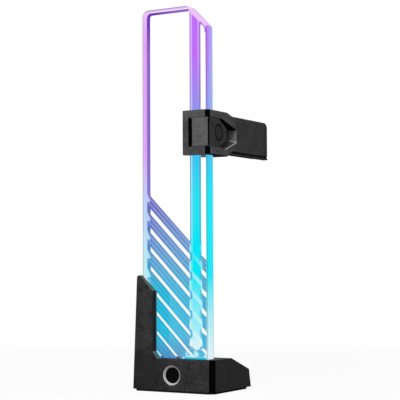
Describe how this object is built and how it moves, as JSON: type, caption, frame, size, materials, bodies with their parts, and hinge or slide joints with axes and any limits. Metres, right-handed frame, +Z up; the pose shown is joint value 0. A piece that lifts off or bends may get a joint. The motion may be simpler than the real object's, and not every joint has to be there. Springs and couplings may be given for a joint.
{
  "type": "graphics card support bracket",
  "caption": "Lit clear panel standing in a black L-shaped base, with a sliding clamp arm that holds up a graphics card, freed by a side button.",
  "frame": {"origin": "on the floor under the middle of the base", "axes": "+X to the viewer's right along the panel, +Y back along the arm, +Z up"},
  "size_m": [0.054, 0.0721, 0.2229],
  "materials": {
    "black_shell": "fine spark-textured moulding",
    "clamp_black": "fine spark-textured moulding",
    "button_black": "smooth matte moulding",
    "cap_black": "satin inlay",
    "gloss_black": "polished inlay",
    "glide_black": "waxy slide plastic",
    "clear_acrylic": "polished faces, frosted edges that glow",
    "glow_film": "printed film, lit from the panel",
    "plate_steel": "zinc plated",
    "screw_steel": "blackened",
    "spring_steel": "drawn wire",
    "magnet_nickel": "nickel plated",
    "pad_rubber": "matte silicone",
    "board_laminate": "white solder mask",
    "lamp_white": "lamp packages"
  },
  "bodies": {
    "tower": {"base_shell": "black_shell", "base_plate": "plate_steel", "base_plate_screws": "screw_steel", "base_magnets": "magnet_nickel", "foot_pad": "pad_rubber", "light_panel": "clear_acrylic", "pattern_film": "glow_film", "panel_screws": "screw_steel", "led_board": "board_laminate", "led_chips": "lamp_white", "front_badge": "gloss_black", "cable_grommet": "pad_rubber"},
    "carriage": {"carriage_frame": "clamp_black", "upper_glide": "glide_black", "lower_glide": "glide_black", "arm_pad": "pad_rubber", "arm_cover": "clamp_black", "arm_cover_screws": "screw_steel", "button_spring": "spring_steel"},
    "button": {"lock_button": "button_black", "brake_shoe": "pad_rubber", "button_cap": "cap_black", "guide_screw": "screw_steel"}
  },
  "joints": [
    {"name": "carriage_slide", "type": "slide", "parent": "tower", "child": "carriage", "axis": [0, 0, 1], "range_m": [-0.108, 0.046]},
    {"name": "button_press", "type": "slide", "parent": "carriage", "child": "button", "axis": [-1, 0, 0], "range_m": [0, 0.002], "stiffness_N_per_m": 1500, "springref_m": -0.002, "deforming": ["button_spring"]}
  ]
}
